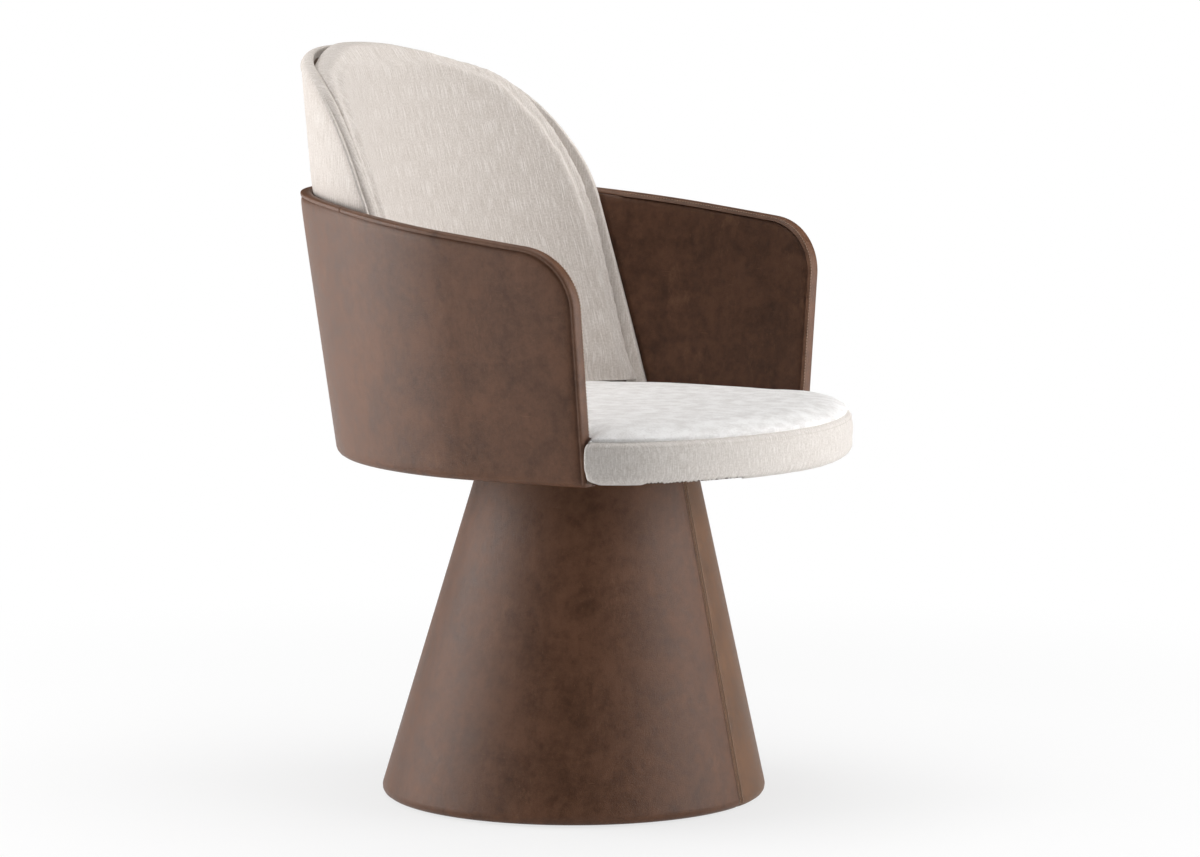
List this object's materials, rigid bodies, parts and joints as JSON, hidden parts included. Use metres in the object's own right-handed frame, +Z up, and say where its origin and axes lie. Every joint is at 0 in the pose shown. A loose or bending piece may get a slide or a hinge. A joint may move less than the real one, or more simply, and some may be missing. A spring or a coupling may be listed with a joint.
{
  "type": "swivel armchair",
  "caption": "Tub armchair with a leather shell, a fabric seat and a fabric back that rises above the arms, turning on a wide raked cone covered in leather.",
  "frame": {"origin": "on the floor under the swivel axis, at the underside of the centre glide", "axes": "+Z up along the swivel axis; the sitter faces -Y; +X is the chair's left"},
  "size_m": [0.584, 0.64, 0.839],
  "materials": {
    "outer_leather": "matte, waxed and slightly mottled",
    "edge_leather": "matte, with a stitched seam",
    "seat_fabric": "woven, slubbed, matte",
    "foam": "upholstery foam and wadding, matte",
    "lining_cloth": "thin black lining cloth, matte",
    "plywood": "raw moulded plywood",
    "board": "raw board",
    "ballast_steel": "black paint",
    "column_steel": "black powder coat",
    "zinc_steel": "zinc plated",
    "bush_plastic": "nylon",
    "glide_felt": "dense felt glide"
  },
  "bodies": {
    "base": {"base_leather_left": "outer_leather", "base_leather_right": "outer_leather", "glides": "glide_felt", "base_underside_cover": "lining_cloth", "base_screws": "zinc_steel", "base_former": "plywood", "base_board": "board", "base_wrap_foam": "foam", "ballast_plate": "ballast_steel", "base_top_board": "board", "column": "column_steel", "column_bolts": "zinc_steel", "column_nuts": "zinc_steel", "upper_bush": "bush_plastic", "lower_bush": "bush_plastic", "thrust_washer": "bush_plastic"},
    "seat": {"swivel_plate": "column_steel", "spindle": "zinc_steel", "retaining_clip": "zinc_steel", "retaining_washer": "zinc_steel", "plate_bolts": "zinc_steel", "plate_tee_nuts": "zinc_steel", "seat_board": "board", "seat_foam": "foam", "seat_top_cover": "seat_fabric", "seat_boxing": "seat_fabric", "seat_dust_cover": "lining_cloth", "tub_outer_leather": "outer_leather", "tub_outer_foam": "foam", "tub_frame": "plywood", "tub_screws": "zinc_steel", "arm_lining_foam_left": "foam", "arm_lining_foam_right": "foam", "arm_lining_leather_left": "outer_leather", "arm_lining_leather_right": "outer_leather", "edge_strip_left": "edge_leather", "edge_strip_right": "edge_leather", "edge_strip_back": "edge_leather", "back_frame": "plywood", "back_outer_foam": "foam", "back_outer_cover": "seat_fabric", "back_pad_foam": "foam", "back_pad_cover": "seat_fabric", "back_battens": "board", "back_screws": "zinc_steel"}
  },
  "joints": [
    {"name": "seat_swivel", "type": "hinge", "parent": "base", "child": "seat", "pos_m": [0, 0, 0.368], "axis": [0, 0, 1], "continuous": true}
  ]
}
